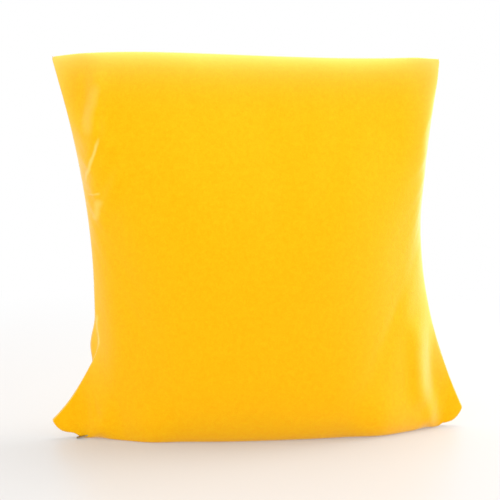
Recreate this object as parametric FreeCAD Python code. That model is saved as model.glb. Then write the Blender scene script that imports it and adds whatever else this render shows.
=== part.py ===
import FreeCAD
import Part

import math
import os

# Throw pillow standing on its bottom edge. Millimetres, +Z up, front face towards -Y.
# The origin is on the floor under the middle of the pillow; the seam lies in the plane Y = 0.

# ---- Driving dimensions: the cover's and the inner pad's seams, seen from the front ----
# The corner tips as X and Z. Each side is drawn in between its corners by "pull", most at the
# share "deepest" of the height, and curves away below and above it by the two powers "curve".
COVER = {
    "bottom_left": (-224.0, 18.5),
    "bottom_right": (224.0, 20.0),
    "top_left": (-219.0, 402.0),
    "top_right": (196.0, 401.0),
    "left": {"pull": 46.0, "deepest": 0.31, "curve": (2.7, 1.85)},
    "right": {"pull": 36.0, "deepest": 0.47, "curve": (2.0, 1.45)},
    "seam_height": 8.5,
    "rise_start": 186.0,            # beyond this X the bottom seam climbs to the corner tips
    "top_crown": 4.5,               # the top edge rises this much, mostly over its left half
    "half_thickness": 70.0,
    "sag": 16.0,                    # how far the panels sag down past the bottom seam
    "sag_reach": 34.0,              # distance from the seam's plane at which they sag fully
}
CASING = {
    "bottom_left": (-186.0, 34.0),
    "bottom_right": (188.0, 32.0),
    "top_left": (-187.0, 373.0),
    "top_right": (169.0, 374.0),
    "left": {"pull": 27.0, "deepest": 0.30, "curve": (2.2, 1.9)},
    "right": {"pull": 18.0, "deepest": 0.47, "curve": (1.9, 1.7)},
    "seam_height": 21.0,
    "rise_start": 150.0,
    "top_crown": 3.0,
    "half_thickness": 60.0,
    "sag": 28.0,
    "sag_reach": 40.0,
}
SAG_ENDS = (160.0, 208.0)           # over these X the sag fades out towards the corners
SIDE_SHARE = 0.3                    # a panel's grid spreads evenly up its two side strips
SIDE_SPREAD = 0.45
CORE_HEIGHT = 150.0                 # a lining shrinks towards this height on the Z axis
CORNER_SHRINK = 6.0                 # and this many times more at its corners
CORNER_POWER = 26                   # a high power keeps that to the corners themselves

# ---- Fabric and stitching ----
COVER_WALL = 1.2
SEAM_ALLOWANCE = 12.0
SEAM_STITCH_INSET = 2.4
CASING_WALL = 0.6
CORNER_GAP = 10.0                   # the fibre stops this far short of the casing's corner tips
CORNER_RADIUS = 60.0
THREAD_RADIUS = 0.3
STITCH_LENGTH = 3.0
STITCH_PITCH = 4.0

# ---- Zip in the bottom seam: heights are measured from the seam ----
ZIP_HALF_LENGTH = 178.0             # half the slot between the cover's two lips
LIP_HALF_GAP = 1.2
HEM_LOW = 0.1
HEM_STEP = 1.1                      # top of the folded hem beside the chain
HEM_STEP_Y = 5.6
HEM_TOP = 2.5                       # top of the folded hem under the tape
HEM_WIDTH = 9.5
TAPE_THICKNESS = 0.5
TAPE_INNER_Y = 1.1
CHAIN_HALF_LENGTH = 170.0
COIL_HEIGHT = 2.0
COIL_OUTER_Y = 2.9
COIL_SPINE_Y = 2.1
TOOTH_REACH_Y = 0.9                 # how far a tooth passes over the centre line
TOOTH_PITCH = 2.4
TOOTH_WIDTH = 1.0
STOP_GAP = 0.8                      # between the closed slider and the top stops
SLIDER_X = -168.0                   # middle of the slider, with the zip closed
SLIDER_HALF_LENGTH = 6.0
SLIDER_HALF_WIDTH = 4.7
SLIDER_PLATE = 0.8
SLIDER_GAP = 0.3
WEDGE_LENGTH = 3.0
WEDGE_HALF_WIDTH = 0.8
BRIDGE_HALF_LENGTH = 2.8
BRIDGE_HALF_WIDTH = 0.9
BRIDGE_DEPTH = 4.6
BRIDGE_THICKNESS = 0.8
PULL_LENGTH = 30.0                  # from the bar inside the bridge to the tip
PULL_WIDTH = 5.6
PULL_THICKNESS = 1.0
PULL_YAW = 15.0                     # degrees from the zip's line towards the front
PULL_TIP_HEIGHT = 0.4
EYE_LENGTH = 2.9
EYE_WIDTH = 3.8
BAR_WIDTH = 1.0
BAR_CLEARANCE = 1.05                # from the bridge's strap to the middle of the bar

GRID_ACROSS = 29
GRID_UP = 33
CROWDING = 1.6                      # above 1, a panel's grid is finer near its bottom seam
OUTLINE_STEPS = 24
CORNER_SHARE = 0.14
FAR = 1000.0


def vec(x, y, z):
    return FreeCAD.Vector(x, y, z)


def mix(a, b, t):
    return a + (b - a) * t


def smoothstep(t):
    t = max(0.0, min(1.0, t))
    return t * t * (3.0 - 2.0 * t)


def hump(t, deepest, curve):
    """0 at both corners of a side and 1 where the side is drawn in most."""
    if t < deepest:
        return 1.0 - (1.0 - t / deepest) ** curve[0]
    return 1.0 - ((t - deepest) / (1.0 - deepest)) ** curve[1]


# The four sides of a seam as X, Z curves; left and right run upwards, top and bottom to the right.

def left_side(seam, t):
    low, high, side = seam["bottom_left"], seam["top_left"], seam["left"]
    pull = side["pull"] * hump(t, side["deepest"], side["curve"])
    return mix(low[0], high[0], t) + pull, mix(low[1], high[1], t)


def right_side(seam, t):
    low, high, side = seam["bottom_right"], seam["top_right"], seam["right"]
    pull = side["pull"] * hump(t, side["deepest"], side["curve"])
    return mix(low[0], high[0], t) - pull, mix(low[1], high[1], t)


def bottom_side(seam, t):
    left, right = seam["bottom_left"], seam["bottom_right"]
    x = mix(left[0], right[0], t)
    tip = left if x < 0 else right
    climb = max(0.0, abs(x) - seam["rise_start"]) / (abs(tip[0]) - seam["rise_start"])
    return x, mix(seam["seam_height"], tip[1], climb ** 2)


def top_side(seam, t):
    left, right = seam["top_left"], seam["top_right"]
    crown = seam["top_crown"] * math.sin(math.pi * t) * 3.4 * (1.0 - t) ** 3
    return mix(left[0], right[0], t), mix(left[1], right[1], t) + crown


# For each side: its curve, which way is inwards, and the sides it meets at its start and end.
SIDES = {
    "left": (left_side, 1.0, ("bottom", 0.0), ("top", 0.0)),
    "right": (right_side, -1.0, ("bottom", 1.0), ("top", 1.0)),
    "bottom": (bottom_side, -1.0, ("left", 0.0), ("right", 0.0)),
    "top": (top_side, 1.0, ("left", 1.0), ("right", 1.0)),
}


def inward(seam, side, t):
    """The unit direction pointing into the outline from a side."""
    curve, turn = SIDES[side][:2]
    x0, z0 = curve(seam, max(0.0, t - 0.004))
    x1, z1 = curve(seam, min(1.0, t + 0.004))
    length = math.hypot(x1 - x0, z1 - z0)
    return turn * (z1 - z0) / length, -turn * (x1 - x0) / length


def corner_inward(seam, side, at_end):
    """How a corner moves when both sides that meet there are drawn in by 1."""
    n = inward(seam, side, 1.0 if at_end else 0.0)
    m = inward(seam, *SIDES[side][3 if at_end else 2])
    share = 1.0 + n[0] * m[0] + n[1] * m[1]
    return (n[0] + m[0]) / share, (n[1] + m[1]) / share


def side_point(seam, side, t, inset):
    """A point on a side, drawn in by a small inset."""
    point = SIDES[side][0](seam, t)
    start = smoothstep(1.0 - t / CORNER_SHARE)
    end = smoothstep(1.0 - (1.0 - t) / CORNER_SHARE)
    along = inward(seam, side, t)
    first, last = corner_inward(seam, side, False), corner_inward(seam, side, True)
    return tuple(
        point[k] + inset * (along[k] * (1.0 - start - end) + first[k] * start + last[k] * end)
        for k in (0, 1)
    )


def seam_point(seam, s, t):
    """X and Z inside a seam's outline; s runs across and t up, both from 0 to 1."""
    left, right = left_side(seam, t), right_side(seam, t)
    bottom, top = bottom_side(seam, s), top_side(seam, s)
    low_left, low_right = seam["bottom_left"], seam["bottom_right"]
    high_left, high_right = seam["top_left"], seam["top_right"]
    return tuple(
        mix(left[k], right[k], s) + mix(bottom[k], top[k], t)
        - mix(mix(low_left[k], low_right[k], s), mix(high_left[k], high_right[k], s), t)
        for k in (0, 1)
    )


def plump(share):
    """The stuffed profile between two seams: 0 at both and 1 in the middle."""
    return math.sin(math.pi * share) * (1.0 + 0.5 * math.cos(math.pi * share) ** 2)


def panel_point(seam, a, b, wall):
    """A point on the front panel, or on its lining; a and b run from 0 to 1 across and up."""
    across, up = plump(a), plump(b)
    near_side = 1.0 - smoothstep(across / SIDE_SHARE)
    t = mix(b * b * (1.5 - 0.5 * b), b, SIDE_SPREAD * near_side)
    x, z = seam_point(seam, a, t)
    sag = smoothstep(seam["half_thickness"] * across * up / seam["sag_reach"])
    sag *= 1.0 - smoothstep((abs(x) - SAG_ENDS[0]) / (SAG_ENDS[1] - SAG_ENDS[0]))
    z -= seam["sag"] * sag * (1.0 - t) ** 2
    depth = (seam["half_thickness"] - wall) * across * up
    corner = ((2.0 * a - 1.0) * (2.0 * t - 1.0)) ** CORNER_POWER
    shrink = wall / CORE_HEIGHT * (1.0 + CORNER_SHRINK * corner)
    return vec(mix(x, 0.0, shrink), -depth, mix(z, CORE_HEIGHT, shrink))


def panel_surface(seam, wall):
    """The front panel's surface, or its lining's, with its four edges in the seam's plane."""
    grid = []
    for i in range(GRID_ACROSS):
        a = i / (GRID_ACROSS - 1)
        column = [panel_point(seam, a, (j / (GRID_UP - 1)) ** CROWDING, wall) for j in range(GRID_UP)]
        on_seam = column if i in (0, GRID_ACROSS - 1) else (column[0], column[-1])
        for point in on_seam:
            point.y = 0.0
        grid.append(column)
    surface = Part.BSplineSurface()
    surface.interpolate(grid)
    return surface.toShape()


def closed_solid(faces):
    shell = Part.makeShell(faces)
    shell.sewShape()
    solid = Part.Solid(shell)
    if solid.Volume < 0:
        solid.reverse()
    return solid


def stuffed_half(seam, wall, floor=0.0):
    """Everything between the front panel and the seam's plane, above a flat floor."""
    panel = panel_surface(seam, wall)
    middle = Part.Face(Part.Wire(Part.sortEdges(panel.Edges)[0]))
    solid = closed_solid([panel, middle])
    return one_solid(solid.cut(box(-FAR, FAR, -FAR, FAR, floor - FAR, floor)))


def box(x0, x1, y0, y1, z0, z1):
    return Part.makeBox(x1 - x0, y1 - y0, z1 - z0, vec(x0, y0, z0))


def one_solid(shape):
    return sorted(shape.Solids, key=lambda solid: solid.Volume)[-1]


def mirrored(shape):
    """The same shape on the back half."""
    return shape.mirror(vec(0, 0, 0), vec(0, 1, 0))


def upright_edges(shape):
    return [edge for edge in shape.Edges if abs(edge.tangentAt(edge.FirstParameter).z) > 0.9]


def seam_path(seam, inset):
    """Points right round a seam, from the bottom left corner to the right."""
    steps = [i / OUTLINE_STEPS for i in range(OUTLINE_STEPS)]
    path = [side_point(seam, "bottom", t, inset) for t in steps]
    path += [side_point(seam, "right", t, inset) for t in steps]
    path += [side_point(seam, "top", 1.0 - t, inset) for t in steps]
    path += [side_point(seam, "left", 1.0 - t, inset) for t in steps]
    return [vec(x, 0, z) for x, z in path + path[:1]]


def seam_face(seam, inset):
    """A flat face in the seam's plane whose edge lies a small inset inside the seam."""
    edges = []
    steps = [i / OUTLINE_STEPS for i in range(OUTLINE_STEPS + 1)]
    for side, order in (("bottom", 1), ("right", 1), ("top", -1), ("left", -1)):
        curve = Part.BSplineCurve()
        points = [side_point(seam, side, t, inset) for t in steps[::order]]
        curve.interpolate([vec(x, 0, z) for x, z in points])
        edges.append(curve.toShape())
    return Part.Face(Part.Wire(edges))


def seam_flange():
    """The front panel's seam allowance, lying flat inside the cover on the sewn sides."""
    ring = seam_face(COVER, COVER_WALL / 2).cut(seam_face(COVER, SEAM_ALLOWANCE))
    flange = ring.extrude(vec(0, -COVER_WALL, 0))
    end = ZIP_HALF_LENGTH + 1.0
    return one_solid(flange.cut(box(-end, end, -FAR, FAR, -FAR, 4 * SEAM_ALLOWANCE)))


def along_zip(profile, half_length=ZIP_HALF_LENGTH):
    """A straight strip along X with the given section of Y and height above the seam."""
    points = [vec(-half_length, y, COVER["seam_height"] + height) for y, height in profile]
    face = Part.Face(Part.makePolygon(points + points[:1]))
    return face.extrude(vec(2 * half_length, 0, 0))


def zip_hem():
    """The front panel's edge, folded back beside the chain to carry the tape."""
    return along_zip([
        (-LIP_HALF_GAP, HEM_LOW),
        (-LIP_HALF_GAP, HEM_STEP),
        (-HEM_STEP_Y, HEM_STEP),
        (-HEM_STEP_Y, HEM_TOP),
        (-HEM_WIDTH, HEM_TOP),
        (-HEM_WIDTH, HEM_STEP),
        (-HEM_STEP_Y, HEM_LOW - 0.6),
    ])


def cover_panel():
    wall = one_solid(stuffed_half(COVER, 0.0).cut(stuffed_half(COVER, COVER_WALL, floor=COVER_WALL)))
    end = ZIP_HALF_LENGTH
    slot = box(-end, end, -LIP_HALF_GAP, LIP_HALF_GAP, 0, COVER["seam_height"] + HEM_TOP)
    return one_solid(one_solid(wall.cut(slot)).fuse([seam_flange(), zip_hem()]))


def stitches_along(points):
    """Short runs of thread laid end to end along a line of points."""
    row = []
    at = STITCH_PITCH / 2
    for p, q in zip(points, points[1:]):
        run = (q - p).Length
        direction = (q - p) * (1.0 / run)
        while at < run:
            start = p + direction * (at - STITCH_LENGTH / 2)
            row.append(Part.makeCylinder(THREAD_RADIUS, STITCH_LENGTH, start, direction))
            at += STITCH_PITCH
        at -= run
    return Part.makeCompound(row)


def cover_seam_stitches():
    """The row round the three sewn sides, from one end of the zip to the other."""
    path = seam_path(COVER, SEAM_STITCH_INSET)
    mouth = ZIP_HALF_LENGTH + 3.0
    sewn = [point for point in path[1:] if abs(point.x) > mouth or point.z > 4 * SEAM_ALLOWANCE]
    start = next(i for i, point in enumerate(sewn) if point.x > mouth)
    return stitches_along(sewn[start:] + sewn[:start])


def zip_stitches(side):
    """The row that holds one tape to its hem."""
    y, z = side * (HEM_STEP_Y + 1.4), COVER["seam_height"] + HEM_TOP + TAPE_THICKNESS
    return stitches_along([vec(1 - ZIP_HALF_LENGTH, y, z), vec(ZIP_HALF_LENGTH - 1, y, z)])


def zip_tape():
    return along_zip([
        (-TAPE_INNER_Y, HEM_TOP),
        (-TAPE_INNER_Y, HEM_TOP + TAPE_THICKNESS),
        (-HEM_WIDTH, HEM_TOP + TAPE_THICKNESS),
        (-HEM_WIDTH, HEM_TOP),
    ])


def zip_coil(side, first_tooth):
    """One half of the chain: a spine with teeth that reach between those of the other half."""
    end = CHAIN_HALF_LENGTH
    comb = [(-end, COIL_OUTER_Y), (-end, COIL_SPINE_Y)]
    x = first_tooth - end
    while x + TOOTH_WIDTH < end:
        comb += [(x, COIL_SPINE_Y), (x, -TOOTH_REACH_Y)]
        comb += [(x + TOOTH_WIDTH, -TOOTH_REACH_Y), (x + TOOTH_WIDTH, COIL_SPINE_Y)]
        x += TOOTH_PITCH
    comb += [(end, COIL_SPINE_Y), (end, COIL_OUTER_Y)]
    low = COVER["seam_height"] + HEM_TOP + TAPE_THICKNESS
    points = [vec(px, side * py, low) for px, py in comb]
    return Part.Face(Part.makePolygon(points + points[:1])).extrude(vec(0, 0, COIL_HEIGHT))


def top_stop():
    """A small metal staple round the front tape's edge, past the closed end of the chain."""
    low = COVER["seam_height"] + HEM_TOP + TAPE_THICKNESS
    x = SLIDER_X - SLIDER_HALF_LENGTH - STOP_GAP
    return box(x - 2.2, x, -3.1, -1.3, low, low + 1.2)


def bottom_stop():
    """The metal staple that joins both tapes at the open end of the chain."""
    low = COVER["seam_height"] + HEM_TOP + TAPE_THICKNESS
    x = CHAIN_HALF_LENGTH + 0.6
    return box(x, x + 3.0, -3.1, 3.1, low, low + 1.6)


def slider_lower_plate():
    """Bottom and top of the slider's lower plate."""
    top = COVER["seam_height"] + HEM_TOP - SLIDER_GAP
    return top - SLIDER_PLATE, top


def zip_slider():
    """Two plates joined by a wedge, side flanges, and a bridge below for the pull."""
    low_bottom, low_top = slider_lower_plate()
    tape_top = COVER["seam_height"] + HEM_TOP + TAPE_THICKNESS
    high_bottom = tape_top + COIL_HEIGHT + SLIDER_GAP
    high_top = high_bottom + SLIDER_PLATE
    x0, x1 = SLIDER_X - SLIDER_HALF_LENGTH, SLIDER_X + SLIDER_HALF_LENGTH
    half = SLIDER_HALF_WIDTH
    low_plate = box(x0, x1, -half, half, low_bottom, low_top)
    high_plate = box(x0, x1, -half, half, high_bottom, high_top)
    low_plate = low_plate.makeFillet(2.0, upright_edges(low_plate))
    high_plate = high_plate.makeFillet(2.0, upright_edges(high_plate))
    wedge = box(x0, x0 + WEDGE_LENGTH, -WEDGE_HALF_WIDTH, WEDGE_HALF_WIDTH, low_bottom, high_top)
    flange = box(x0 + 2, x1 - 2, -half, 1 - half, tape_top + SLIDER_GAP, high_top)
    strap = low_bottom - BRIDGE_DEPTH
    bx, by = BRIDGE_HALF_LENGTH, BRIDGE_HALF_WIDTH
    bridge = box(SLIDER_X - bx, SLIDER_X + bx, -by, by, strap, low_bottom)
    rounded = [edge for edge in bridge.Edges if edge.BoundBox.ZMax < strap + 0.1 and edge.Length < 3 * by]
    bridge = bridge.makeFillet(1.5, rounded)
    bx -= BRIDGE_THICKNESS
    tunnel = box(SLIDER_X - bx, SLIDER_X + bx, -FAR, FAR, strap + BRIDGE_THICKNESS, low_bottom)
    parts = [high_plate, wedge, flange, mirrored(flange), bridge.cut(tunnel)]
    return low_plate.fuse(parts).removeSplitter()


def pull_pivot():
    """The middle of the pull's bar, inside the slider's bridge."""
    strap_top = slider_lower_plate()[0] - BRIDGE_DEPTH + BRIDGE_THICKNESS
    return vec(SLIDER_X, 0, strap_top + BAR_CLEARANCE)


def zip_pull():
    """A flat tab with an eye round the bridge; its tip hangs just above the floor."""
    half, back = PULL_WIDTH / 2, BAR_WIDTH / 2
    tab = box(-PULL_LENGTH, back, -half, half, -PULL_THICKNESS / 2, PULL_THICKNESS / 2)
    tab = tab.makeFillet(half - 0.2, [e for e in upright_edges(tab) if e.BoundBox.XMax < 0])
    tab = tab.makeFillet(0.9, [e for e in upright_edges(tab) if e.BoundBox.XMin > 0])
    eye = box(-back - EYE_LENGTH, -back, -EYE_WIDTH / 2, EYE_WIDTH / 2, -FAR, FAR)
    window = Part.makeCylinder(1.1, 2 * FAR, vec(3.6 - PULL_LENGTH, 0, -FAR))
    tab = tab.cut([eye.makeFillet(0.5, upright_edges(eye)), window])
    pivot = pull_pivot()
    fall = pivot.z - PULL_THICKNESS / 2 - PULL_TIP_HEIGHT
    tab.rotate(vec(0, 0, 0), vec(0, 1, 0), -math.degrees(math.asin(fall / PULL_LENGTH)))
    tab.rotate(vec(0, 0, 0), vec(0, 0, 1), PULL_YAW)
    tab.translate(pivot)
    return tab


def fibre_filling():
    """The block of fibre inside the casing; it stops short of the casing's thin corners."""
    face = panel_surface(CASING, CASING_WALL)
    block = closed_solid([face, mirrored(face)])
    reach, high = CASING["bottom_right"][0] - CORNER_GAP, CASING["top_right"][1]
    frame = box(-reach, reach, -FAR, FAR, 0, high)
    rounded = [edge for edge in frame.Edges if abs(edge.tangentAt(edge.FirstParameter).y) > 0.9]
    return one_solid(block.common(frame.makeFillet(CORNER_RADIUS, rounded)))


def export(name, shape):
    shape.exportStep(os.path.join("parts", name + ".step"))
    volume = round(shape.Volume / 1000, 2)
    print(name, "valid" if shape.isValid() else "NOT VALID", len(shape.Solids), "solids", volume, "cm3")


def build():
    os.makedirs("parts", exist_ok=True)
    cover_front = cover_panel()
    casing_front = one_solid(stuffed_half(CASING, 0.0).cut(stuffed_half(CASING, CASING_WALL)))
    nodes = {
        "cover_front": cover_front,
        "cover_back": mirrored(cover_front),
        "cover_seam_stitches": cover_seam_stitches(),
        "zip_tape_front": zip_tape(),
        "zip_tape_back": mirrored(zip_tape()),
        "zip_coil_front": zip_coil(-1, 0.2),
        "zip_coil_back": zip_coil(1, 0.2 + TOOTH_PITCH / 2),
        "zip_top_stop_front": top_stop(),
        "zip_top_stop_back": mirrored(top_stop()),
        "zip_bottom_stop": bottom_stop(),
        "zip_slider": zip_slider(),
        "zip_pull": zip_pull(),
        "zip_stitches_front": zip_stitches(-1),
        "zip_stitches_back": zip_stitches(1),
        "casing_front": casing_front,
        "casing_back": mirrored(casing_front),
        "casing_seam_stitches": stitches_along(seam_path(CASING, THREAD_RADIUS)),
        "fibre_filling": fibre_filling(),
    }
    for name, shape in nodes.items():
        export(name, shape)


build()
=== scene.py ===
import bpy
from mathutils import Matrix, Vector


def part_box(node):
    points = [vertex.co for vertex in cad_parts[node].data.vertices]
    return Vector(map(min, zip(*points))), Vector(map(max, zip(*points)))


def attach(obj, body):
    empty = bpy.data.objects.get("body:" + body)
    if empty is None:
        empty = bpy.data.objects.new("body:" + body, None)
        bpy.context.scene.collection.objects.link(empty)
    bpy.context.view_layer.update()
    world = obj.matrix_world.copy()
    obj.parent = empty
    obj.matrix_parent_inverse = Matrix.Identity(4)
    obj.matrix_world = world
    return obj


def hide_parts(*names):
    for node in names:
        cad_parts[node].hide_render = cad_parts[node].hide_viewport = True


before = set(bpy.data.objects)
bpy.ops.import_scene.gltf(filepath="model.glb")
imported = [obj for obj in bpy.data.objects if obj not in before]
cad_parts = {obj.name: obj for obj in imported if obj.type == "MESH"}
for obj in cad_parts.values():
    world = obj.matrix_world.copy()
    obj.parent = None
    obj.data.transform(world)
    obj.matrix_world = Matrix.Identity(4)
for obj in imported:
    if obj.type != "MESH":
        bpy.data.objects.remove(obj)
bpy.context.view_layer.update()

import math

import bpy
import numpy as np
from mathutils import Vector

# A yellow throw pillow standing on its bottom edge. Metres, in the CAD frame: +Z up, front to -Y.
# The cover is simulated as two panels of cloth held along the drawn seam and filled by pressure.

COVER_LOW, COVER_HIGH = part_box("cover_front")

# ---- The seam's outline: corner tips as X, Z ----
BOTTOM_LEFT = (COVER_LOW.x, 0.0185)
BOTTOM_RIGHT = (COVER_HIGH.x, 0.020)
TOP_LEFT = (COVER_LOW.x + 0.005, 0.402)
TOP_RIGHT = (0.196, 0.401)
LEFT_PULL_IN, LEFT_DEEPEST, LEFT_CURVE = 0.046, 0.31, (2.7, 1.85)
RIGHT_PULL_IN, RIGHT_DEEPEST, RIGHT_CURVE = 0.036, 0.47, (2.0, 1.45)
TOP_CROWN = 0.0045              # the top edge's rise over its left half
CROWN_SCALE = 3.4               # makes the leaning crown's peak 1
TOP_DIP = 0.0020                # the top edge's dip over its right half
SEAM_HEIGHT = 0.0085            # of the bottom seam, along the zip
CORNER_RISE_START = 0.186       # beyond this X the bottom seam leaves that height
LOW_ENDS = (0.0030, 0.0010)     # how low it falls just before its left and right tips
CORNER_CLIMB = 5                # a high power rounds the bottom corners' tips
BLUNT_TIPS = ((0, 0, 0.001), (0, 1, 0.001), (1, 1, 0.003))    # right, top, how far moved in
TIP_START, TIP_SPAN = 0.93, 0.07        # where along a side its tip starts, as a share

# ---- The cover's cloth before and in the simulation ----
CELLS = 72                      # cells along each side of a panel
CLOTH_THICKNESS = 0.0009
HALF_THICKNESS = -COVER_LOW.y
SEAM_WAVE = 0.0012              # how far the seam wanders off its plane
SAG = (0.019, 0.014)            # how far the panels hang past the bottom seam: middle, ends
SAG_REACH = (0.034, 0.010)      # the distance from the seam's plane at which they hang fully
OUTER_START, OUTER_SPAN = 0.12, 0.07    # the X at which middle gives way to ends
SAG_ENDS = (0.192, 0.224)       # over these X the sag fades out towards the corners
EVEN_SHARE, EVEN_REACH = 0.45, 0.3      # how evenly the grid is spread up beside the sides
SLACK = 0.02                    # how much larger the cloth is than the shape it fills
PRESSURE = 20.0                 # of the filling on the cloth
FRAMES = 40                     # of the simulation, whose last frame is used

# ---- The cover's cloth after the simulation. A ramp is given as its start and its span. ----
RIPPLE_PASSES = 14
SHOULDER = 0.0065               # how much the panels are plumped up close to their seams
SHOULDER_REACH = 0.010
SHOULDER_FADE = 0.06            # how far from a corner the shoulders take to grow
SHOULDER_FOOT = 0.15            # and up the sides, as a share of the height
COVER_WIDTH = 0.42              # about a panel's side, which turns shares into metres
CALM_PASSES = 30
CALM_FROM = (0.130, 0.040)      # the X at which the lower corners' extra smoothing sets in
CALM_TOP, CALM_TOP_SPAN = 0.24, 0.08    # it fades out over this span below this height
FOOT_WIDENING = 0.009           # how far each panel is moved out low down near its two ends
FOOT_FROM, FOOT_TO = (0.080, 0.050), (0.180, 0.030)     # the X at which that sets in and fades
FOOT_HEIGHT = (0.005, 0.055)    # the height over which it fades
FOOT_DEPTH = (0.002, 0.010)     # the distance from the seam's plane over which it grows
TUCK_HEIGHT, TUCK_REACH = 0.097, 0.024  # where the back panel shows past the left seam
EDGE_ROOM, PANEL_ROOM = 0.0024, 0.0034  # half the room between the panels, at and off the edge
ROOM_SOFTNESS = 0.002           # how gradually that room sets in
ALLOWANCE_ROOM = 0.0028         # a panel's least distance off the seam's plane beside its sides
FLOOR_SOFTNESS = 0.0015         # how gradually the cloth comes to lie on the floor
RIM_HIGHLIGHT_REACH = 0.022              # how far in from a seam the highlight painted along it reaches, as a share
RIM_HIGHLIGHT_LEFT, RIM_HIGHLIGHT_RIGHT, RIM_HIGHLIGHT_TOP = 0.45, 0.9, 0.8        # how strong that painted highlight is at each seam
RIM_HIGHLIGHT_FROM = (0.12, 0.3)         # where up the sides it sets in, as a share of the height

# ---- The zip, from the CAD pieces ----
TAPE_LOW, TAPE_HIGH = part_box("zip_tape_front")
COIL_LOW, COIL_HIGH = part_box("zip_coil_front")
ZIP_END = TAPE_HIGH.x
HEM_HEIGHT = TAPE_LOW.z
TAPE_INNER, TAPE_OUTER = -TAPE_HIGH.y, -TAPE_LOW.y
ZIP_NARROWS = 0.158             # beyond this X the hems and tapes narrow
ZIP_END_WIDTH = 0.0045          # half their width at the zip's ends
PULL_ROOM = 0.0086              # above the floor beside the zip, for the pull to swing over
PULL_SIDE, PULL_SLOPE = 0.0022, 0.74    # the room shrinks by the slope beyond this distance
PULL_TRAVEL, PULL_FADE = (-0.186, 0.206), 0.010         # the X between which it is needed
TOOTH_PITCH = 0.0024
FILAMENT_RADIUS = 0.0003
COIL_MIDDLE, COIL_REACH = 0.0010, 0.0015
COIL_RISE = 0.5 * (COIL_HIGH.z - COIL_LOW.z) - FILAMENT_RADIUS

# ---- Thread ----
THREAD_RADIUS = 0.0003
SIDE_SEAM_FOOT = 0.03           # above this height the seam is sewn, whatever its X
STITCH_LENGTH = 0.003
STITCH_PITCH = 0.004
STITCH_INSET = 0.0024
TAPE_STITCH = 0.0070            # from the zip's middle line

# ---- The casing and its filling, cut from the cover's panels: see inset() ----
CASING_THICKNESS = 0.0005
CASING = {
    "share": 0.085, "low": 0.055, "high": 0.935,
    "gap": 0.004, "floor": 0.0016, "seam_height": 0.021,
}
FILLING = {
    "share": 0.12, "low": 0.085, "high": 0.905,
    "gap": 0.009, "floor": 0.0040, "seam_height": 0.028,
}
CORNER_LIFT = 0.013             # how much higher their lower corners are than their lower edges


def mix(a, b, t):
    return a + (b - a) * t


def smoothstep(t):
    t = np.clip(t, 0.0, 1.0)
    return t * t * (3.0 - 2.0 * t)


def ramp(value, start, span):
    """0 up to the start, then a smooth rise to 1 over the span."""
    return smoothstep((value - start) / span)


# ---------------------------------------------------------------- the seam and the first shape

def hump(t, deepest, curve):
    """0 at both corners of a side and 1 where the side is drawn in most."""
    low = 1.0 - np.clip(1.0 - t / deepest, 0.0, 1.0) ** curve[0]
    high = 1.0 - np.clip((t - deepest) / (1.0 - deepest), 0.0, 1.0) ** curve[1]
    return np.where(t < deepest, low, high)


def left_side(t):
    pull = LEFT_PULL_IN * hump(t, LEFT_DEEPEST, LEFT_CURVE)
    return mix(BOTTOM_LEFT[0], TOP_LEFT[0], t) + pull, mix(BOTTOM_LEFT[1], TOP_LEFT[1], t)


def right_side(t):
    pull = RIGHT_PULL_IN * hump(t, RIGHT_DEEPEST, RIGHT_CURVE)
    return mix(BOTTOM_RIGHT[0], TOP_RIGHT[0], t) - pull, mix(BOTTOM_RIGHT[1], TOP_RIGHT[1], t)


def bottom_side(s):
    x = mix(BOTTOM_LEFT[0], BOTTOM_RIGHT[0], s)
    tip = np.where(x < 0, BOTTOM_LEFT[1], BOTTOM_RIGHT[1])
    climb = np.clip((abs(x) - CORNER_RISE_START) / (BOTTOM_RIGHT[0] - CORNER_RISE_START), 0.0, 1.0)
    low = mix(SEAM_HEIGHT, np.where(x < 0, *LOW_ENDS), np.sqrt(climb))
    return x, mix(low, tip, climb ** CORNER_CLIMB)


def top_side(s):
    crown = TOP_CROWN * np.sin(math.pi * s) * CROWN_SCALE * (1.0 - s) ** 3
    crown = crown - TOP_DIP * np.sin(math.pi * s ** 3)
    return mix(TOP_LEFT[0], TOP_RIGHT[0], s), mix(TOP_LEFT[1], TOP_RIGHT[1], s) + crown


def seam_point(s, t):
    """X and Z inside the outline; s runs across and t up, both from 0 to 1."""
    left, right, bottom, top = left_side(t), right_side(t), bottom_side(s), top_side(s)
    return [
        mix(left[k], right[k], s) + mix(bottom[k], top[k], t)
        - mix(mix(BOTTOM_LEFT[k], BOTTOM_RIGHT[k], s), mix(TOP_LEFT[k], TOP_RIGHT[k], s), t)
        for k in (0, 1)
    ]


def plump(share):
    """The thickness across a panel: 0 at both edges, and fuller beside them than a plain arch."""
    return np.sin(math.pi * share) * (1.0 + 0.5 * np.cos(math.pi * share) ** 2)


def seam_wave(s, t):
    """How far the seam itself wanders off its plane; still at the zip and at the corners."""
    on_side = np.sin(math.pi * t) * (abs(2.0 * s - 1.0) > 0.99)
    on_top = np.sin(math.pi * s) * (t > 0.99)
    side = np.sin(21.0 * t + 2.0 * s) + 0.6 * np.sin(37.0 * t + 5.0 * s + 1.0)
    return SEAM_WAVE * (on_side * side + on_top * (np.sin(17.0 * s) + 0.5 * np.sin(31.0 * s + 2.0)))


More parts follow.
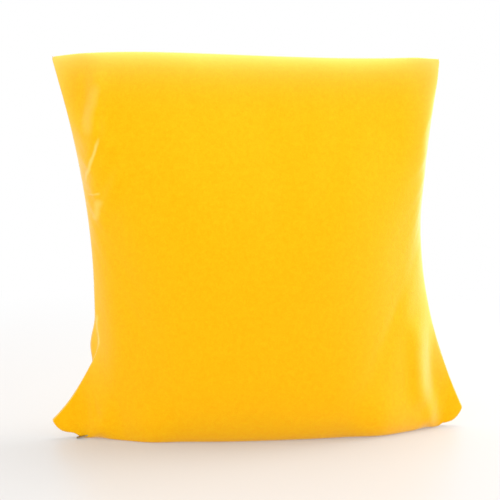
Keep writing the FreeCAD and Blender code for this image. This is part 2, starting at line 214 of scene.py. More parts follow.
def first_shape():
    """The panels' grids before the simulation, standing on the floor with a sagging foot."""
    steps = np.arange(CELLS + 1) / CELLS
    s, b = np.meshgrid(steps, steps, indexing="ij")
    across, up = plump(s), plump(b)
    even = EVEN_SHARE * (1.0 - smoothstep(across / EVEN_REACH))
    t = mix(b ** 2 * (1.5 - 0.5 * b), b, even)      # finer near the bottom seam
    x, z = seam_point(s, t)
    depth = HALF_THICKNESS * across * up
    outer = ramp(abs(x), OUTER_START, OUTER_SPAN)
    reach = smoothstep(depth / mix(*SAG_REACH, outer))
    ends = 1.0 - ramp(abs(x), SAG_ENDS[0], SAG_ENDS[1] - SAG_ENDS[0])
    z = z - mix(*SAG, outer) * reach * ends * (1.0 - t) ** 2
    for right, top, inward in BLUNT_TIPS:
        near_side = np.clip((abs(s - 1 + right) - TIP_START) / TIP_SPAN, 0, 1)
        near_end = np.clip((abs(t - 1 + top) - TIP_START) / TIP_SPAN, 0, 1)
        near = near_side * near_end
        x = x + (1 - 2 * right) * inward * near
        z = z + (1 - 2 * top) * inward * near
    wave = seam_wave(s, t)
    return np.stack([x, wave - depth, z], axis=-1), np.stack([x, wave + depth, z], axis=-1)


def is_edge(i, j):
    return i in (0, CELLS) or j in (0, CELLS)


def mesh_object(name, points, faces):
    mesh = bpy.data.meshes.new(name)
    mesh.from_pydata([tuple(p) for p in points], [], faces)
    mesh.update()
    mesh.polygons.foreach_set("use_smooth", [True] * len(mesh.polygons))
    obj = bpy.data.objects.new(name, mesh)
    bpy.context.scene.collection.objects.link(obj)
    return obj


def simulate_cover():
    """Blows the two panels up inside their held seam; returns both grids of points."""
    front, back = first_shape()
    points, number, seam = [], {}, []
    for side, grid in enumerate((front, back)):
        for i in range(CELLS + 1):
            for j in range(CELLS + 1):
                if side and is_edge(i, j):
                    number[side, i, j] = number[0, i, j]
                    continue
                number[side, i, j] = len(points)
                if is_edge(i, j):
                    seam.append(len(points))
                points.append(grid[i, j])
    faces = []
    for side in (0, 1):
        for i in range(CELLS):
            for j in range(CELLS):
                ring = [(i, j), (i + 1, j), (i + 1, j + 1), (i, j + 1)]
                face = [number[side, a, b] for a, b in ring]
                faces.append(face[::-1] if side else face)
    bag = mesh_object("bag", points, faces)
    held = bag.vertex_groups.new(name="seam")
    held.add(seam, 1.0, "REPLACE")
    cloth = bag.modifiers.new("cloth", "CLOTH")
    settings = cloth.settings
    settings.quality = 5
    settings.mass = 0.15
    settings.tension_stiffness = 40.0
    settings.compression_stiffness = 40.0
    settings.shear_stiffness = 20.0
    settings.bending_stiffness = 0.6
    settings.tension_damping = 10.0
    settings.compression_damping = 10.0
    settings.shear_damping = 10.0
    settings.air_damping = 3.0
    settings.vertex_group_mass = "seam"
    settings.shrink_min = -SLACK
    settings.use_pressure = True
    settings.uniform_pressure_force = PRESSURE
    cloth.collision_settings.use_collision = False
    scene = bpy.context.scene
    scene.frame_start, scene.frame_end = 1, FRAMES
    cloth.point_cache.frame_end = FRAMES
    for f in range(1, FRAMES + 1):
        scene.frame_set(f)
    done = bag.evaluated_get(bpy.context.evaluated_depsgraph_get()).to_mesh()
    co = np.empty(len(done.vertices) * 3)
    done.vertices.foreach_get("co", co)
    co = co.reshape(-1, 3)
    grids = []
    for side in (0, 1):
        rows = [[co[number[side, i, j]] for j in range(CELLS + 1)] for i in range(CELLS + 1)]
        grids.append(np.array(rows))
    bpy.data.objects.remove(bag)
    scene.frame_set(1)
    return grids


# ---------------------------------------------------------------- folds and the rest on the floor

def steps_from_edge():
    """How many grid steps each place is from the nearest seam."""
    steps = np.arange(CELLS + 1)
    near = np.minimum(steps, CELLS - steps)
    return np.minimum(near[:, None], near)


def fold(grid, start, end, width, push):
    """Pushes a soft ridge (push away from the seam's plane) or valley (negative) between two
    points given as X and Z; it fades towards both ends and leaves the seam alone."""
    a, b = np.array(start), np.array(end)
    run = b - a
    p = grid[..., (0, 2)] - a
    along = (p @ run) / (run @ run)
    off = np.linalg.norm(p - np.clip(along, 0.0, 1.0)[..., None] * run, axis=-1)
    ends = smoothstep((along + 0.25) / 0.45) * smoothstep((1.25 - along) / 0.45)
    side = np.sign(grid[..., 1].mean())
    inside = np.minimum(steps_from_edge() / 2.0, 1.0)
    grid[..., 1] += side * push * np.exp(-((off / width) ** 2)) * ends * inside


def settle(grid, floor=0.0):
    """Lays the bottom of a panel on the floor."""
    over = grid[..., 2] - floor
    grid[..., 2] = floor + 0.5 * (over + np.sqrt(over ** 2 + FLOOR_SOFTNESS ** 2))


def leave_room(back):
    """Slopes the back panel up to the zip, where the pull lies when it is swung right over."""
    x, y = back[..., 0], abs(back[..., 1])
    room = np.clip(PULL_ROOM - PULL_SLOPE * (y - PULL_SIDE), 0.0, PULL_ROOM)
    room *= ramp(x, PULL_TRAVEL[0], PULL_FADE) * smoothstep((PULL_TRAVEL[1] - x) / PULL_FADE)
    back[..., 2] = np.maximum(back[..., 2], room)


def resample(grid, share, low, high):
    """The same surface between share and 1 - share across, and between low and high up."""
    steps = np.arange(CELLS + 1) / CELLS
    i, j = mix(share, 1.0 - share, steps) * CELLS, mix(low, high, steps) * CELLS
    i0, j0 = np.minimum(i.astype(int), CELLS - 1), np.minimum(j.astype(int), CELLS - 1)
    di, dj = (i - i0)[:, None, None], (j - j0)[None, :, None]
    rows = mix(grid[i0], grid[i0 + 1], di)
    return mix(rows[:, j0], rows[:, j0 + 1], dj)


def inset(grid, share, low, high, gap, floor, seam_height):
    """A smaller stuffed shape inside the panel: moved in by the gap, and closed round its edge
    in the seam's plane, with its lower edge at the given height."""
    inner = resample(grid, share, low, high)
    side = np.sign(grid[..., 1].mean())
    normal = np.cross(np.gradient(inner, axis=0), np.gradient(inner, axis=1))
    inner += gap * side * normal / np.linalg.norm(normal, axis=-1)[..., None]
    steps = np.arange(CELLS + 1) / CELLS
    closed = 1.0 - (1.0 - np.sin(math.pi * steps)) ** 3
    inner[..., 1] *= closed[:, None] * closed[None, :]
    lower = np.where(steps < 0.5, closed, 1.0) ** 2
    corners = CORNER_LIFT * (2.0 * steps - 1.0) ** 6
    edge = np.maximum(seam_height + corners[:, None], inner[..., 2])
    inner[..., 2] = mix(edge, inner[..., 2], lower[None, :] * np.sqrt(closed)[:, None])
    settle(inner, floor)
    return inner


def round_shoulders(grid):
    """Plumps a panel up close to its side and top seams, but not at the corners."""
    steps = np.arange(CELLS + 1) / CELLS
    across = (np.minimum(steps, 1.0 - steps) * COVER_WIDTH)[:, None]
    down = ((1.0 - steps) * COVER_WIDTH)[None, :]
    at_sides = across / SHOULDER_REACH * np.exp(1.0 - across / SHOULDER_REACH)
    at_sides = at_sides * smoothstep(down / SHOULDER_FADE)
    at_sides = at_sides * smoothstep(steps / SHOULDER_FOOT)[None, :]
    at_top = down / SHOULDER_REACH * np.exp(1.0 - down / SHOULDER_REACH)
    at_top = at_top * smoothstep(across / SHOULDER_FADE)
    grid[..., 1] += np.sign(grid[..., 1].mean()) * SHOULDER * (at_sides + at_top)


def widen_foot(grid):
    """Makes the pillow stand as broadly near its two ends as in its middle."""
    x, y, z = abs(grid[..., 0]), grid[..., 1], grid[..., 2]
    ends = ramp(x, *FOOT_FROM) * (1.0 - ramp(x, *FOOT_TO))
    low = (1.0 - ramp(z, *FOOT_HEIGHT)) * ramp(abs(y), *FOOT_DEPTH)
    grid[..., 1] += np.sign(y.mean()) * FOOT_WIDENING * ends * low


def soften(grid, times, axes=slice(1, 2)):
    """Evens out ripples of the simulation, away from the seam, along Y or the given axes."""
    part = grid[..., axes]
    for _ in range(times):
        around = part[:-2, 1:-1] + part[2:, 1:-1] + part[1:-1, :-2] + part[1:-1, 2:]
        part[1:-1, 1:-1] += 0.5 * (0.25 * around - part[1:-1, 1:-1])


def calm_corners(grid):
    """Evens out the sharp creases of the simulation near the two lower corners."""
    calm = grid.copy()
    soften(calm, CALM_PASSES, slice(0, 2))
    x, z = abs(grid[..., 0]), grid[..., 2]
    share = ramp(x, *CALM_FROM) * smoothstep((CALM_TOP - z) / CALM_TOP_SPAN)
    grid += share[..., None] * (calm - grid)


def keep_apart(front, back):
    """Leaves room between the panels for the turned-in allowances."""
    rings = steps_from_edge()
    room = np.where(rings > 1, PANEL_ROOM, EDGE_ROOM) * (rings > 0)
    middle = 0.5 * (front[..., 1] + back[..., 1])
    half = 0.5 * (back[..., 1] - front[..., 1])
    wider = 0.5 * (half + room + np.sqrt((half - room) ** 2 + ROOM_SOFTNESS ** 2))
    half = np.maximum(half, wider * (rings > 0))
    front[..., 1], back[..., 1] = middle - half, middle + half
    along = slice(3, CELLS - 2)
    for grid, side in ((front, -1.0), (back, 1.0)):
        for seam, near in ((0, slice(1, 4)), (CELLS, slice(CELLS - 3, CELLS))):
            rise = side * (grid[near, along, 1] - grid[seam, along, 1])
            grid[near, along, 1] = grid[seam, along, 1] + side * np.maximum(rise, ALLOWANCE_ROOM)


def tuck_left_seam(front, back):
    """Low on the left the back panel bulges out past the seam. The rows are grid steps in from
    that seam, and how far the cloth is moved to the right there."""
    near = np.exp(-(((front[..., 2] - TUCK_HEIGHT) / TUCK_REACH) ** 2))
    place = np.arange(CELLS + 1)
    front[..., 0] += near * np.interp(place, (0, 3, 6), (0.006, 0.002, 0.0))[:, None]
    shift = np.interp(place, (0, 1, 2, 3, 5, 8), (0.006, -0.006, -0.013, -0.014, -0.007, 0.0))
    back[..., 0] += near * shift[:, None]


def sculpt(front, back):
    """The folds that the simulation is too coarse to make by itself."""
    fold(front, (-0.186, 0.392), (-0.193, 0.336), 0.009, -0.009)
    fold(front, (-0.170, 0.380), (-0.180, 0.310), 0.009, 0.008)
    fold(front, (-0.170, 0.332), (-0.186, 0.268), 0.006, 0.007)
    fold(front, (-0.158, 0.318), (-0.180, 0.258), 0.006, 0.006)
    fold(front, (-0.150, 0.284), (-0.174, 0.234), 0.006, 0.006)
    fold(front, (-0.208, 0.037), (-0.176, 0.029), 0.005, -0.006)
    fold(front, (0.168, 0.115), (0.172, 0.035), 0.011, 0.006)
    fold(front, (0.192, 0.090), (0.198, 0.035), 0.011, -0.006)
    tuck_left_seam(front, back)


# ---------------------------------------------------------------- the panels' meshes

def edge_walk():
    """The grid places right round a panel's edge."""
    n = CELLS
    walk = [(i, 0) for i in range(n)] + [(n, j) for j in range(n)]
    return walk + [(n - i, n) for i in range(n)] + [(0, n - j) for j in range(n)]


def inward_directions(edge):
    """For each edge point, the unit direction in X, Z that points into the pillow."""
    ahead, behind = np.roll(edge, -1, axis=0), np.roll(edge, 1, axis=0)
    run = (ahead - behind)[:, (0, 2)]
    run /= np.linalg.norm(run, axis=1)[:, None]
    return np.stack([-run[:, 1], run[:, 0]], axis=1)


# How a panel's edge is turned in. Each row: distance in from the seam, and off its plane.
SEWN_EDGE = [
    (0.0, 0.0008), (0.0008, 0.0002), (0.003, 0.0001), (0.007, 0.0002), (0.012, 0.0003),
]
HEMMED_EDGE = [
    (0.0, 0.0022), (0.0006, 0.0014), (0.0011, 0.0018), (0.0011, 0.0056), (0.0025, 0.0095),
]


def painted_rim_highlight():
    """How strongly a highlight is painted in from each seam, standing in for the light the rims
    catch: most along the top and right-hand seams.
    """
    steps = np.arange(CELLS + 1) / CELLS
    left, right = steps[:, None], (1.0 - steps)[:, None]
    top = (1.0 - steps)[None, :]
    pale = RIM_HIGHLIGHT_LEFT * np.exp(-left / RIM_HIGHLIGHT_REACH) + RIM_HIGHLIGHT_RIGHT * np.exp(-right / RIM_HIGHLIGHT_REACH)
    pale = pale * ramp(steps, *RIM_HIGHLIGHT_FROM)[None, :] + RIM_HIGHLIGHT_TOP * np.exp(-top / RIM_HIGHLIGHT_REACH)
    return np.clip(pale, 0.0, 1.0)


def zip_width(x):
    """Half the width of the hems and tapes, which narrow towards the zip's two ends."""
    return mix(TAPE_OUTER, ZIP_END_WIDTH, ramp(abs(x), ZIP_NARROWS, ZIP_END - ZIP_NARROWS))


def panel(name, grid, thickness, hemmed=False):
    """One panel: its outer face, its rolled edge, and the allowance turned in beside the seam.
    Along the zip the edge is folded back as a hem for the tape instead."""
    side = np.sign(grid[..., 1].mean())
    n = CELLS + 1
    points = [grid[i, j].copy() for i in range(n) for j in range(n)]
    faces = [
        [i * n + j, (i + 1) * n + j, (i + 1) * n + j + 1, i * n + j + 1]
        for i in range(n - 1) for j in range(n - 1)
    ]
    walk = edge_walk()
    edge = np.array([grid[i, j] for i, j in walk])
    inward = inward_directions(edge)
    at_zip = [hemmed and j == 0 and abs(grid[i, j][0]) < ZIP_END for i, j in walk]
    ring = [i * n + j for i, j in walk]
    for number in range(len(SEWN_EDGE)):
        new = []
        for k, (x, y, z) in enumerate(edge):
            depth, off = (HEMMED_EDGE if at_zip[k] else SEWN_EDGE)[number]
            if at_zip[k]:
                off = min(off, zip_width(x))
            place = (x + inward[k][0] * depth, y + side * off, z + inward[k][1] * depth)
            if number == 0:
                points[ring[k]] = place
                new.append(ring[k])
            else:
                new.append(len(points))
                points.append(place)
        if number:
            for k in range(len(walk)):
                m = (k + 1) % len(walk)
                faces.append([ring[m], ring[k], new[k], new[m]])
        ring = new
    if side > 0:
        faces = [face[::-1] for face in faces]
    obj = mesh_object(name, points, faces)
    # Painted highlight at the rims: full on the rolled edge and the turned-in allowance, fading in
    # from the seams over the face.
    rim_highlight_layer = obj.data.attributes.new("painted_rim_highlight", "FLOAT", "POINT")
    values = np.ones(len(points))
    values[:n * n] = painted_rim_highlight().ravel()
    rim_highlight_layer.data.foreach_set("value", values)
    thick = obj.modifiers.new("thickness", "SOLIDIFY")
    thick.thickness = thickness
    thick.offset = -1.0
    finer = obj.modifiers.new("finer", "SUBSURF")
    finer.levels = finer.render_levels = 1
    return obj


def stuffing(name, front, back):
    """A closed lump between two grids."""
    n = CELLS + 1
    points = [p for grid in (front, back) for row in grid for p in row]
    faces = []
    for i in range(n - 1):
        for j in range(n - 1):
            ring = [i * n + j, (i + 1) * n + j, (i + 1) * n + j + 1, i * n + j + 1]
            faces.append(ring)
            faces.append([n * n + v for v in reversed(ring)])
    walk = [i * n + j for i, j in edge_walk()]
    for k, m in zip(walk, walk[1:] + walk[:1]):
        faces.append([m, k, n * n + k, n * n + m])
    return mesh_object(name, points, faces)


# ---------------------------------------------------------------- thread and zip

def add_tube(points, faces, path, radii, sides):
    """Adds a round tube along a path, closed at both ends."""
    path = np.array(path)
    run = np.gradient(path, axis=0)
    run /= np.linalg.norm(run, axis=1)[:, None]
    across = np.cross(run, (0.0, 1.0, 0.001))
    across /= np.linalg.norm(across, axis=1)[:, None]
    over = np.cross(across, run)
    first = len(points)
    for k, centre in enumerate(path):
        for m in range(sides):
            a = math.tau * m / sides
            points.append(centre + radii[k] * (math.cos(a) * across[k] + math.sin(a) * over[k]))
    for k in range(len(path) - 1):
        for m in range(sides):
            a, b = first + k * sides + m, first + k * sides + (m + 1) % sides
            faces.append([a, b, b + sides, a + sides])
    last = first + (len(path) - 1) * sides
    faces.append([first + m for m in reversed(range(sides))])
    faces.append([last + m for m in range(sides)])


def stitch_row(name, line):
    """Short runs of thread laid end to end along a line of points."""
    points, faces, at = [], [], STITCH_PITCH / 2
    for p, q in zip(line, line[1:]):
        length = np.linalg.norm(q - p)
        direction = (q - p) / length
        while at < length:
            path = [p + direction * (at + STITCH_LENGTH * k) for k in (-0.5, -0.38, 0.38, 0.5)]
            radii = [THREAD_RADIUS * k for k in (0.4, 1.0, 1.0, 0.4)]
            add_tube(points, faces, path, radii, 6)
            at += STITCH_PITCH
        at -= length
    return mesh_object(name, points, faces)


def seam_line(grid, distance, sewn):
    """The line at a distance in from a seam, past the edge points for which sewn(point) holds."""
    walk = edge_walk()
    edge = np.array([grid[i, j] for i, j in walk])
    inward = inward_directions(edge)
    line = [
        edge[k] + np.array([inward[k][0], 0.0, inward[k][1]]) * distance
        for k in range(len(walk)) if sewn(edge[k])
    ]
    start = next((k for k, p in enumerate(line) if p[0] > ZIP_END), 0)
    return line[start:] + line[:start]


def tape(name, side):
    """One woven tape of the zip, very slightly rippled."""
    along, wide = 240, 8
    points, faces = [], []
    for i in range(along + 1):
        for j in range(wide + 1):
            x = mix(-ZIP_END, ZIP_END, i / along)
            y = side * mix(TAPE_INNER, zip_width(x), j / wide)
            points.append((x, y, HEM_HEIGHT + 0.0001 * math.sin(150.0 * x) * (1.0 - j / wide)))
    for i in range(along):
        for j in range(wide):
            a = i * (wide + 1) + j
            faces.append([a, a + wide + 1, a + wide + 2, a + 1][::int(-side)])
    obj = mesh_object(name, points, faces)
    thick = obj.modifiers.new("thickness", "SOLIDIFY")
    thick.thickness = TAPE_HIGH.z - TAPE_LOW.z
    thick.offset = 1.0
    return obj


def coil(name, side):
    """One row of the zip's teeth: a single filament wound into a flattened coil."""
    turns = int((COIL_HIGH.x - COIL_LOW.x - 2.0 * TOOTH_PITCH) / TOOTH_PITCH)
    steps = 14
    middle = side * COIL_MIDDLE
    height = 0.5 * (COIL_LOW.z + COIL_HIGH.z)
    start = COIL_LOW.x + (1.0 if side < 0 else 1.5) * TOOTH_PITCH
    path = []
    for k in range(turns * steps + 1):
        a = math.tau * k / steps
        x = start + TOOTH_PITCH * k / steps
        path.append((x, middle + COIL_REACH * math.cos(a), height + COIL_RISE * math.sin(a)))
    points, faces = [], []
    add_tube(points, faces, path, [FILAMENT_RADIUS] * len(path), 6)
    return mesh_object(name, points, faces)


# ---------------------------------------------------------------- materials

def principled(name, colour, roughness):
    material = bpy.data.materials.new(name)
    material.use_nodes = True
    shader = material.node_tree.nodes["Principled BSDF"]
    shader.inputs["Base Color"].default_value = (*colour, 1.0)
    shader.inputs["Roughness"].default_value = roughness
    return material, shader


def noise_texture(tree, coordinates, scale, detail, roughness=0.5, output="Fac"):
    node = tree.nodes.new("ShaderNodeTexNoise")
    node.inputs["Scale"].default_value = scale
    node.inputs["Detail"].default_value = detail
    node.inputs["Roughness"].default_value = roughness
    tree.links.new(coordinates, node.inputs["Vector"])
    return node.outputs[output]


# How fine the brushed pile's blotches and fibres are, and how much the fibres count.
NAP_SCALE, FIBRE_SCALE, FIBRE_WEIGHT = 230.0, 850.0, 1.4

# Creases along whose ridges a highlight is painted, standing in for the light they catch. Each row:
# start and end as X and Z, half the width, and how strong the painted highlight is.
CREASES = [
    ((-0.171, 0.377), (-0.187, 0.316), 0.0085, 0.30),
    ((-0.171, 0.318), (-0.186, 0.270), 0.0026, 0.85),
    ((-0.184, 0.259), (-0.169, 0.261), 0.0024, 0.55),
    ((-0.170, 0.256), (-0.177, 0.228), 0.0060, 0.55),
    ((-0.174, 0.136), (-0.172, 0.092), 0.0032, 0.90),
    ((-0.171, 0.104), (-0.184, 0.072), 0.0032, 0.90),
    ((0.172, 0.100), (0.174, 0.038), 0.0130, 0.20),
]
CREASE_RELIEF = 0.0005
CREASE_WANDER = 0.008           # how far a noise moves the creases about
CREASE_NOISE = 45.0             # and how fine that noise is
CREASE_TAPER = 6.0              # the higher, the shorter their faint ends


def math_node(tree, operation, first, second):
    node = tree.nodes.new("ShaderNodeMath")
    node.operation = operation
    for socket, value in zip(node.inputs, (first, second)):
        if isinstance(value, float):
            socket.default_value = value
        else:
            tree.links.new(value, socket)
    return node.outputs["Value"]


def vector_node(tree, operation, first, second, output="Vector"):
    node = tree.nodes.new("ShaderNodeVectorMath")
    node.operation = operation
    for socket, value in zip(node.inputs, (first, second)):
        if isinstance(value, tuple):
            socket.default_value = value
        else:
            tree.links.new(value, socket)
    return node.outputs[output]


def creased(tree, place):
    """How strongly a highlight is painted at each point of the front panel along the creases; the
    same mask also drives a faint bump.
    """
    noise = noise_texture(tree, place, CREASE_NOISE, 2.0, output="Color")
    wander = vector_node(tree, "MULTIPLY", noise, (CREASE_WANDER,) * 3)
    shifted = vector_node(tree, "ADD", place, wander)
    flat = vector_node(tree, "MULTIPLY", shifted, (1.0, 0.0, 1.0))
    middle = (0.5 * CREASE_WANDER, 0.0, 0.5 * CREASE_WANDER)
    flat = vector_node(tree, "SUBTRACT", flat, middle)
    total = None
    for start, end, width, pale in CREASES:
        run = Vector((end[0] - start[0], 0.0, end[1] - start[1]))
        offset = vector_node(tree, "SUBTRACT", flat, (start[0], 0.0, start[1]))
        along = vector_node(tree, "DOT_PRODUCT", offset, tuple(run / run.length_squared), "Value")
        along = math_node(tree, "MINIMUM", math_node(tree, "MAXIMUM", along, 0.0), 1.0)
        nearest = vector_node(tree, "MULTIPLY", tuple(run), along)
        off = vector_node(tree, "DISTANCE", offset, nearest, "Value")
        shade = tree.nodes.new("ShaderNodeMapRange")
        shade.interpolation_type = "SMOOTHSTEP"
        shade.inputs["From Max"].default_value = width
        shade.inputs["To Min"].default_value = pale
        shade.inputs["To Max"].default_value = 0.0
        tree.links.new(off, shade.inputs["Value"])
        tapered = math_node(tree, "MULTIPLY", along, math_node(tree, "SUBTRACT", 1.0, along))
        tapered = math_node(tree, "MULTIPLY", tapered, CREASE_TAPER)
        tapered = math_node(tree, "MINIMUM", tapered, 1.0)
        shade = math_node(tree, "MULTIPLY", shade.outputs["Result"], tapered)
        total = shade if total is None else math_node(tree, "MAXIMUM", total, shade)
    apart = tree.nodes.new("ShaderNodeSeparateXYZ")
    tree.links.new(place, apart.inputs["Vector"])
    front = math_node(tree, "LESS_THAN", apart.outputs["Y"], 0.0)
    return math_node(tree, "MULTIPLY", total, front)


def brushed_cotton(name, colour, light_nap, highlight_colour):
    """Cotton with a short brushed pile: blotches of nap, fine fibres, a shader sheen at the rims
    with a highlight painted over it near the seams, and highlights painted along the creases."""
    material, shader = principled(name, colour, 0.95)
    tree = material.node_tree
    shader.inputs["Sheen Weight"].default_value = 1.0
    shader.inputs["Sheen Roughness"].default_value = 0.40
    shader.inputs["Sheen Tint"].default_value = (1.0, 0.94, 0.76, 1.0)
    shader.inputs["Specular IOR Level"].default_value = 0.0
    place = tree.nodes.new("ShaderNodeTexCoord").outputs["Object"]
    nap = noise_texture(tree, place, NAP_SCALE, 3.0, 0.55)
    fibres = noise_texture(tree, place, FIBRE_SCALE, 2.0, 0.6)
    mixed = tree.nodes.new("ShaderNodeMath")
    mixed.operation = "MULTIPLY_ADD"
    mixed.inputs[1].default_value = FIBRE_WEIGHT
    tree.links.new(fibres, mixed.inputs[0])
    tree.links.new(nap, mixed.inputs[2])
    spread = tree.nodes.new("ShaderNodeMapRange")
    spread.inputs["From Min"].default_value = 0.85
    spread.inputs["From Max"].default_value = 1.55
    tree.links.new(mixed.outputs["Value"], spread.inputs["Value"])
    blend = tree.nodes.new("ShaderNodeMix")
    blend.data_type = "RGBA"
    blend.inputs["A"].default_value = (*colour, 1.0)
    blend.inputs["B"].default_value = (*light_nap, 1.0)
    tree.links.new(spread.outputs["Result"], blend.inputs["Factor"])
    # Painted highlight: the colour is mixed towards a pale yellow near the top and side seams and
    # along the creases, standing in for the light they catch.
    painted_highlight = tree.nodes.new("ShaderNodeAttribute")
    painted_highlight.attribute_name = "painted_rim_highlight"
    creases = creased(tree, place)
    pale = math_node(tree, "MAXIMUM", painted_highlight.outputs["Fac"], creases)
    rim = tree.nodes.new("ShaderNodeMix")
    rim.data_type = "RGBA"
    rim.inputs["B"].default_value = (*highlight_colour, 1.0)
    tree.links.new(pale, rim.inputs["Factor"])
    tree.links.new(blend.outputs["Result"], rim.inputs["A"])
    tree.links.new(rim.outputs["Result"], shader.inputs["Base Color"])
    relief = tree.nodes.new("ShaderNodeBump")
    relief.inputs["Distance"].default_value = CREASE_RELIEF
    tree.links.new(creases, relief.inputs["Height"])
    bump = tree.nodes.new("ShaderNodeBump")
    bump.inputs["Strength"].default_value = 0.3
    bump.inputs["Distance"].default_value = 0.0006
    tree.links.new(relief.outputs["Normal"], bump.inputs["Normal"])
    tree.links.new(mixed.outputs["Value"], bump.inputs["Height"])
    tree.links.new(bump.outputs["Normal"], shader.inputs["Normal"])
    return material


def plain_cloth(name, colour, thread_scale):
    """Thin woven cloth: a fine plain weave over faint unevenness."""
    material, shader = principled(name, colour, 0.9)
    tree = material.node_tree
    place = tree.nodes.new("ShaderNodeTexCoord").outputs["Object"]
    weave = []
    for direction in ("X", "Z"):
        wave = tree.nodes.new("ShaderNodeTexWave")
        wave.bands_direction = direction
        wave.inputs["Scale"].default_value = thread_scale
        wave.inputs["Distortion"].default_value = 0.6
        tree.links.new(place, wave.inputs["Vector"])
        weave.append(wave.outputs["Fac"])
    bump = tree.nodes.new("ShaderNodeBump")
    bump.inputs["Strength"].default_value = 0.3
    bump.inputs["Distance"].default_value = 0.0003
    tree.links.new(math_node(tree, "MULTIPLY", *weave), bump.inputs["Height"])
    tree.links.new(bump.outputs["Normal"], shader.inputs["Normal"])
    uneven(tree, shader, place, colour, 60.0)
    return material


def uneven(tree, shader, place, colour, scale):
    """Slightly uneven colour."""
    blend = tree.nodes.new("ShaderNodeMix")
    blend.data_type = "RGBA"
    blend.inputs["A"].default_value = (*[0.88 * c for c in colour], 1.0)
    blend.inputs["B"].default_value = (*colour, 1.0)
    tree.links.new(noise_texture(tree, place, scale, 4.0), blend.inputs["Factor"])
    tree.links.new(blend.outputs["Result"], shader.inputs["Base Color"])


def grainy(name, colour, roughness, metallic, scale, depth):
    """Metal, nylon, thread or fibre: uneven colour and a fine grain."""
    material, shader = principled(name, colour, roughness)
    tree = material.node_tree
    shader.inputs["Metallic"].default_value = metallic
    place = tree.nodes.new("ShaderNodeTexCoord").outputs["Object"]
    bump = tree.nodes.new("ShaderNodeBump")
    bump.inputs["Strength"].default_value = 0.4
    bump.inputs["Distance"].default_value = depth
    tree.links.new(noise_texture(tree, place, scale, 5.0, 0.6), bump.inputs["Height"])
    tree.links.new(bump.outputs["Normal"], shader.inputs["Normal"])
    uneven(tree, shader, place, colour, scale * 0.3)
    return material


# ---------------------------------------------------------------- build

def place_piece(obj, material, slot, *nodes):
    """Gives a piece its material, in place of its CAD nodes, on the cover's body. The slot is not
    used.
    """
    obj.data.materials.append(material)
    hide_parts(*nodes)
    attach(obj, "cover")
    return obj


def build_cover(panels, cloth, thread):
    for grid, word in zip(panels, ("front", "back")):
        obj = panel("cover_" + word + "_cloth", grid, CLOTH_THICKNESS, hemmed=True)
        place_piece(obj, cloth, "cover_fabric", "cover_" + word)
    sewn = lambda p: abs(p[0]) > ZIP_END or p[2] > SIDE_SEAM_FOOT
    stitches = stitch_row("cover_seam_thread", seam_line(panels[0], STITCH_INSET, sewn))
    place_piece(stitches, thread, "cover_thread", "cover_seam_stitches")


def build_inner_pad(raw):
    cloth = plain_cloth("casing_fabric", (0.80, 0.79, 0.76), 900.0)
    thread = grainy("casing_thread", (0.82, 0.81, 0.78), 0.6, 0.0, 3000.0, 0.0001)
    fibre = grainy("filling", (0.86, 0.85, 0.82), 0.95, 0.0, 350.0, 0.002)
    casing = [inset(grid, **CASING) for grid in raw]
    for grid, word in zip(casing, ("front", "back")):
        obj = panel("casing_" + word + "_cloth", grid, CASING_THICKNESS)
        place_piece(obj, cloth, "casing_fabric", "casing_" + word)
    line = seam_line(casing[0], STITCH_INSET, lambda p: True)      # sewn all round
    stitches = stitch_row("casing_seam_thread", line)
    place_piece(stitches, thread, "casing_thread", "casing_seam_stitches")
    lump = stuffing("fibre", *[inset(grid, **FILLING) for grid in raw])
    place_piece(lump, fibre, "filling", "fibre_filling")


def build_zip(thread):
    tape_cloth = plain_cloth("zip_tape", (0.86, 0.42, 0.015), 1200.0)
    nylon = grainy("zip_coil", (0.88, 0.45, 0.02), 0.35, 0.0, 2000.0, 0.00003)
    metal = grainy("zip_metal", (0.42, 0.40, 0.34), 0.38, 1.0, 900.0, 0.00004)
    for side, word in ((-1, "front"), (1, "back")):
        place_piece(tape("tape_" + word, side), tape_cloth, "zip_tape", "zip_tape_" + word)
        place_piece(coil("coil_" + word, side), nylon, "zip_coil", "zip_coil_" + word)
        y, z = side * TAPE_STITCH, TAPE_HIGH.z
        ends = [np.array([x, y, z]) for x in (-ZIP_NARROWS, ZIP_NARROWS)]
        row = stitch_row("tape_thread_" + word, ends)
        place_piece(row, thread, "cover_thread", "zip_stitches_" + word)
    stops = ["zip_top_stop_front", "zip_top_stop_back", "zip_bottom_stop"]
    for node in ["zip_slider", "zip_pull"] + stops:
        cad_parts[node].data.materials.clear()
        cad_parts[node].data.materials.append(metal)


def build_pillow():
    raw = simulate_cover()
    for grid in raw:
        soften(grid, RIPPLE_PASSES)
        round_shoulders(grid)
        calm_corners(grid)
        widen_foot(grid)
    sculpt(*raw)
    keep_apart(*raw)
    panels = [grid.copy() for grid in raw]
    for grid in panels:
        settle(grid)
    leave_room(panels[1])
    # The third colour is the pale yellow of the highlight painted at the rims and along the
    # creases.
    colour, light_nap, painted_highlight = (0.98, 0.455, 0.0008), (1.0, 0.535, 0.004), (1.0, 0.70, 0.14)
    yellow = brushed_cotton("cover_fabric", colour, light_nap, painted_highlight)
    thread = grainy("cover_thread", (0.90, 0.42, 0.012), 0.6, 0.0, 3000.0, 0.0001)
    build_cover(panels, yellow, thread)
    build_inner_pad(raw)
    build_zip(thread)


# ---------------------------------------------------------------- floor, light and camera

FLOOR_SIZE = 9.0                # half its side
FLOOR_FADE = (0.40, 1.10)       # between these distances it turns as white as the surround
FLOOR_GLOW = 0.25               # how much of that glow it has beside the pillow


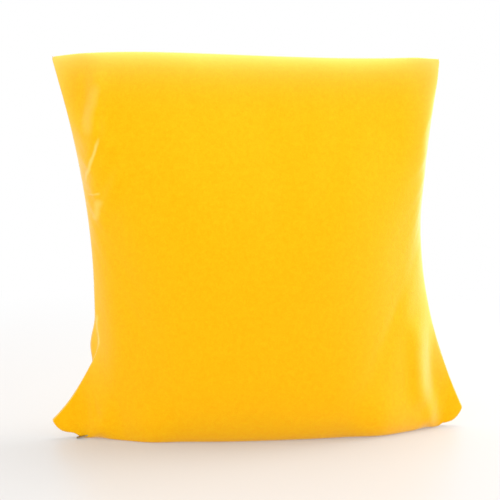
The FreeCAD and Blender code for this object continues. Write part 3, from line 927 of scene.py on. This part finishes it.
def studio():
    """A pale floor that fades into a plain white surround."""
    floor_white, shader = principled("floor_white", (0.58, 0.565, 0.55), 0.4)
    tree = floor_white.node_tree
    place = tree.nodes.new("ShaderNodeNewGeometry").outputs["Position"]
    far = tree.nodes.new("ShaderNodeVectorMath")
    far.operation = "LENGTH"
    fade = tree.nodes.new("ShaderNodeMapRange")
    fade.interpolation_type = "SMOOTHSTEP"
    fade.inputs["From Min"].default_value = FLOOR_FADE[0]
    fade.inputs["From Max"].default_value = FLOOR_FADE[1]
    fade.inputs["To Min"].default_value = FLOOR_GLOW
    glow = tree.nodes.new("ShaderNodeEmission")
    join = tree.nodes.new("ShaderNodeMixShader")
    tree.links.new(place, far.inputs[0])
    tree.links.new(far.outputs["Value"], fade.inputs["Value"])
    tree.links.new(fade.outputs["Result"], join.inputs["Fac"])
    tree.links.new(shader.outputs["BSDF"], join.inputs[1])
    tree.links.new(glow.outputs["Emission"], join.inputs[2])
    tree.links.new(join.outputs["Shader"], tree.nodes["Material Output"].inputs["Surface"])
    corners = [(x * FLOOR_SIZE, y * FLOOR_SIZE, 0) for x, y in ((-1, -1), (1, -1), (1, 1), (-1, 1))]
    floor = mesh_object("floor", corners, [[0, 1, 2, 3]])
    floor.data.materials.append(floor_white)
    world = bpy.data.worlds.new("studio")
    world.use_nodes = True
    sky = world.node_tree.nodes["Background"]
    sky.inputs["Color"].default_value = (1.0, 1.0, 1.0, 1.0)
    sky.inputs["Strength"].default_value = 1.0
    bpy.context.scene.world = world
    bpy.context.scene.view_settings.view_transform = "Standard"


def soft_light(name, place, target, size, power):
    light = bpy.data.lights.new(name, "AREA")
    light.size = size
    light.energy = power
    obj = bpy.data.objects.new(name, light)
    obj.location = place
    aim = Vector(target) - Vector(place)
    obj.rotation_euler = aim.to_track_quat("-Z", "Y").to_euler()
    bpy.context.scene.collection.objects.link(obj)


CAMERA_DISTANCE = 1.85
CAMERA_YAW = math.radians(-8.0)
CAMERA_HEIGHT = 0.42
AIM = Vector((-0.0108, 0.0, 0.1966))
VIEW_WIDTH = 0.5300             # width of the view at the pillow
SENSOR_WIDTH = 36.0             # in millimetres


def make_camera():
    lens = bpy.data.cameras.new("camera")
    obj = bpy.data.objects.new("camera", lens)
    bpy.context.scene.collection.objects.link(obj)
    across = math.sqrt(CAMERA_DISTANCE ** 2 - (CAMERA_HEIGHT - AIM.z) ** 2)
    obj.location = (
        AIM.x + across * math.sin(CAMERA_YAW),
        AIM.y - across * math.cos(CAMERA_YAW),
        CAMERA_HEIGHT,
    )
    obj.rotation_euler = (AIM - obj.location).to_track_quat("-Z", "Y").to_euler()
    lens.sensor_width = SENSOR_WIDTH
    lens.lens = SENSOR_WIDTH * CAMERA_DISTANCE / VIEW_WIDTH
    bpy.context.scene.camera = obj


build_pillow()
studio()
# Each light: its place, what it points at, its size and its power.
soft_light("key", (1.6, 0.40, 0.9), (0, 0, 0.2), 1.2, 20.0)
soft_light("fill", (-0.8, -2.2, 0.3), (0, 0, 0.08), 1.6, 12.0)
soft_light("top", (0.4, 0.50, 1.8), (0, 0, 0.3), 1.2, 20.0)
make_camera()
